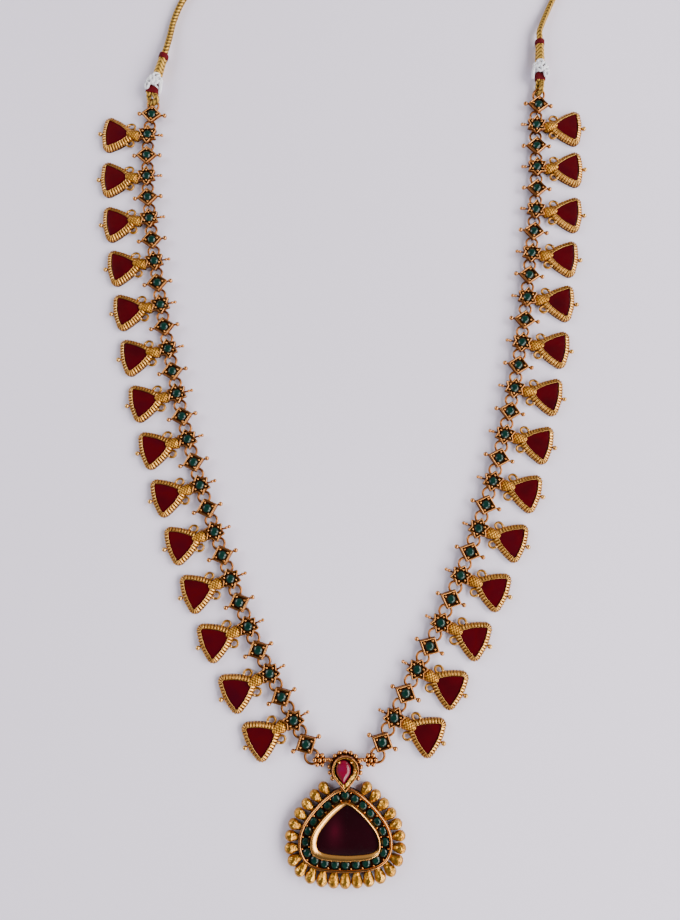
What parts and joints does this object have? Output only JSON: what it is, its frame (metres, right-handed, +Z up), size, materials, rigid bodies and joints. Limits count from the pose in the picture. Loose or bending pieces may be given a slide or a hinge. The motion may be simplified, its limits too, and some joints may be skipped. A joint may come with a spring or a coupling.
{
  "type": "temple jewellery necklace",
  "caption": "Long gold temple necklace of flower links with triangular dark glass drops, a rounded triangular pendant and a thread cord, lying flat as a loop.",
  "frame": {"origin": "on the surface, below the middle of the necklace without its cord", "axes": "+Y from the pendant along the loop to the cord, +Z up from the surface to the stones"},
  "size_m": [0.1958, 0.403, 0.0053],
  "materials": {
    "gold": "antique gold wash, dark in the recesses",
    "dark_glass": "polished",
    "pink_glass": "polished",
    "red_glass": "polished",
    "green_glass": "faceted",
    "gold_thread": "braided metallic thread",
    "maroon_thread": "wound thread",
    "white_thread": "wound thread"
  },
  "bodies": {
    "root": {"pendant_frame": "gold", "pendant_stone": "dark_glass", "crown_stone": "pink_glass", "halo_stones": "green_glass", "left_drop_link_01": "gold", "left_drop_link_02": "gold", "left_drop_link_03": "gold", "left_drop_link_04": "gold", "left_drop_link_05": "gold", "left_drop_link_06": "gold", "left_drop_link_07": "gold", "left_drop_link_08": "gold", "left_drop_link_09": "gold", "left_drop_link_10": "gold", "left_drop_link_11": "gold", "left_drop_link_12": "gold", "left_drop_link_13": "gold", "left_drop_link_14": "gold", "right_drop_link_01": "gold", "right_drop_link_02": "gold", "right_drop_link_03": "gold", "right_drop_link_04": "gold", "right_drop_link_05": "gold", "right_drop_link_06": "gold", "right_drop_link_07": "gold", "right_drop_link_08": "gold", "right_drop_link_09": "gold", "right_drop_link_10": "gold", "right_drop_link_11": "gold", "right_drop_link_12": "gold", "right_drop_link_13": "gold", "right_drop_link_14": "gold", "left_drop_stones": "red_glass", "left_flower_stones": "green_glass", "left_square_links": "gold", "left_square_stones": "green_glass", "left_jump_rings": "gold", "left_cord_loop": "gold_thread", "left_lower_binding": "maroon_thread", "left_white_knot": "white_thread", "left_cord_sleeve": "gold_thread", "left_upper_binding": "maroon_thread", "right_drop_stones": "red_glass", "right_flower_stones": "green_glass", "right_square_links": "gold", "right_square_stones": "green_glass", "right_jump_rings": "gold", "right_cord_loop": "gold_thread", "right_lower_binding": "maroon_thread", "right_white_knot": "white_thread", "right_cord_sleeve": "gold_thread", "right_upper_binding": "maroon_thread", "neck_cord": "gold_thread"}
  },
  "joints": []
}
